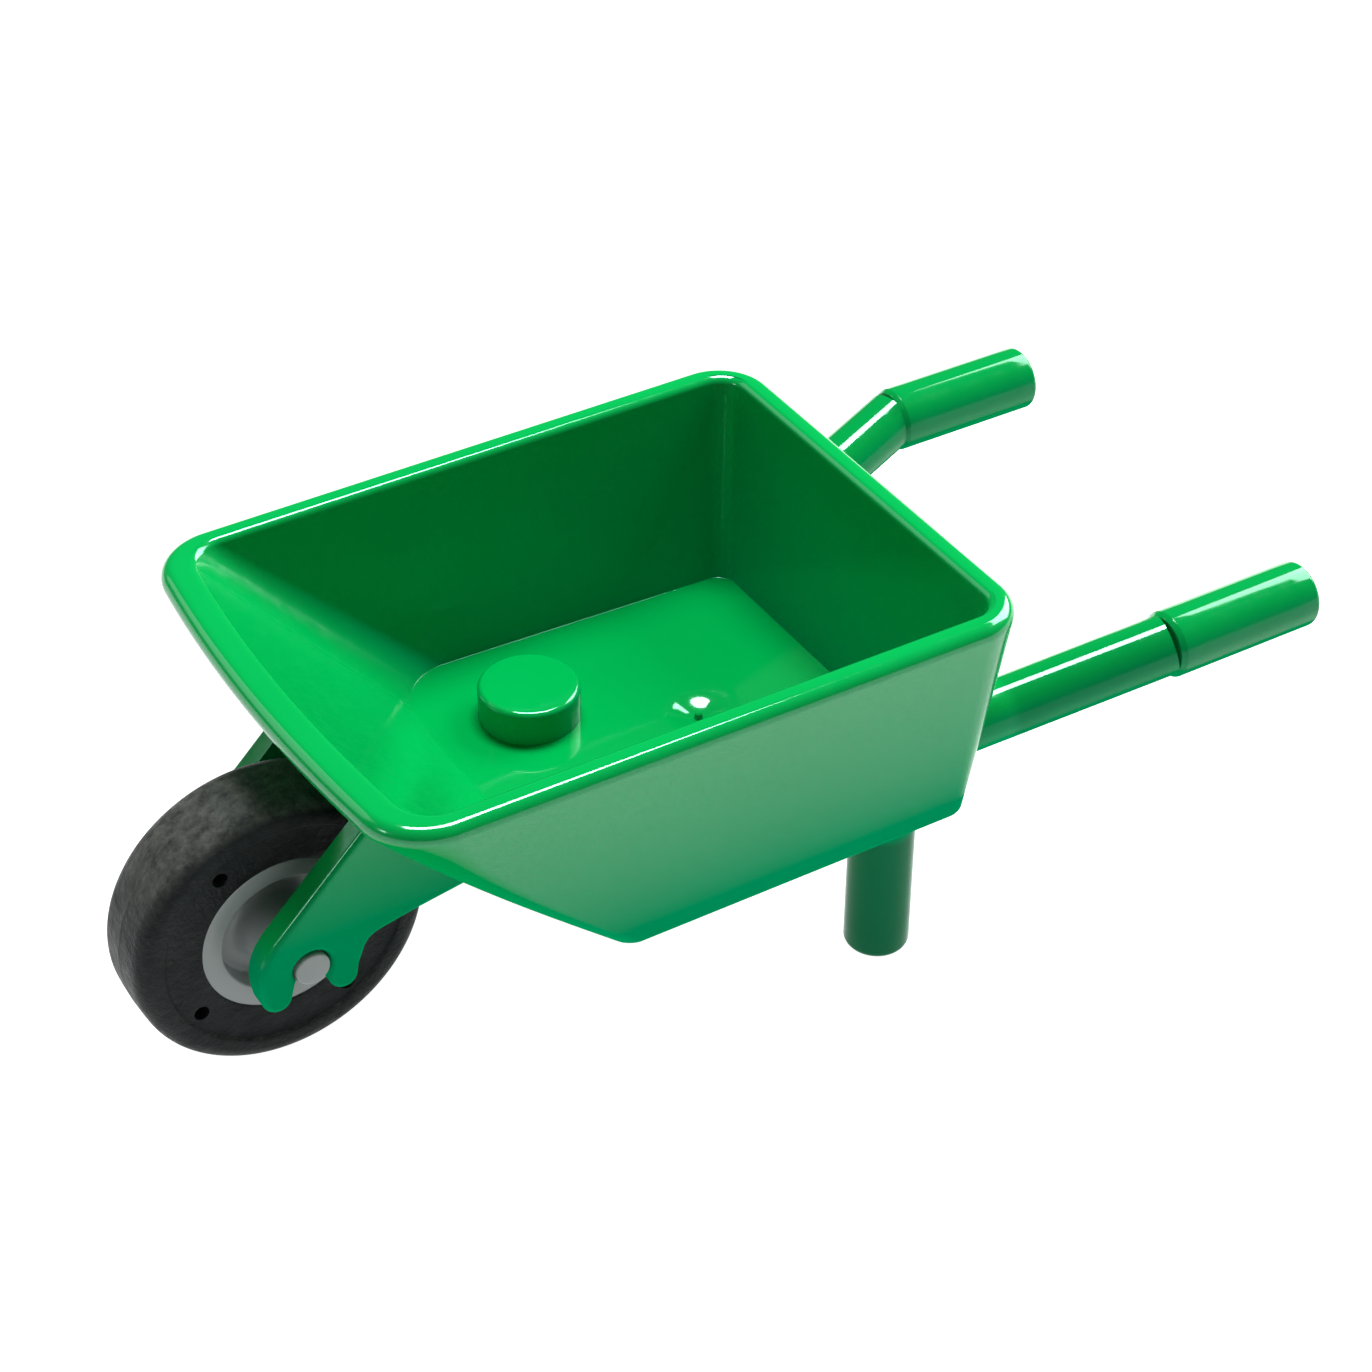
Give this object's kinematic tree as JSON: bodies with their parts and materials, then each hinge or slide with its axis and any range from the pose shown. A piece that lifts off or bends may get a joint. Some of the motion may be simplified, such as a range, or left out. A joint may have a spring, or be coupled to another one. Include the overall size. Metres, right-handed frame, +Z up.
{
  "type": "toy wheelbarrow",
  "caption": "Small plastic wheelbarrow for a brick-built toy figure: deep tray with a stud, two legs, two bar handles and a snap-in rubber-tyred wheel that spins.",
  "frame": {"origin": "centre of the outline on the ground, in the plane of symmetry of the frame and the wheel", "axes": "+X forward to the wheel, +Y to the left, +Z up; the tyre and both legs stand on z = 0"},
  "size_m": [0.0556, 0.0252, 0.0189],
  "materials": {
    "green_plastic": "glossy moulded plastic",
    "grey_plastic": "satin moulded plastic",
    "tyre_rubber": "matt smooth rubber"
  },
  "bodies": {
    "frame": {"tray": "green_plastic", "floor_stud": "green_plastic", "fork_arm_left": "green_plastic", "fork_arm_right": "green_plastic", "axle_clip_left": "green_plastic", "axle_clip_right": "green_plastic", "leg_left": "green_plastic", "leg_right": "green_plastic", "handle_rod_left": "green_plastic", "handle_rod_right": "green_plastic", "grip_left": "green_plastic", "grip_right": "green_plastic"},
    "wheel_set": {"wheel": "grey_plastic", "tyre": "tyre_rubber"}
  },
  "joints": [
    {"name": "wheel_spin", "type": "hinge", "parent": "frame", "child": "wheel_set", "pos_m": [0.02077, 0, 0.007], "axis": [0, 1, 0], "continuous": true}
  ]
}
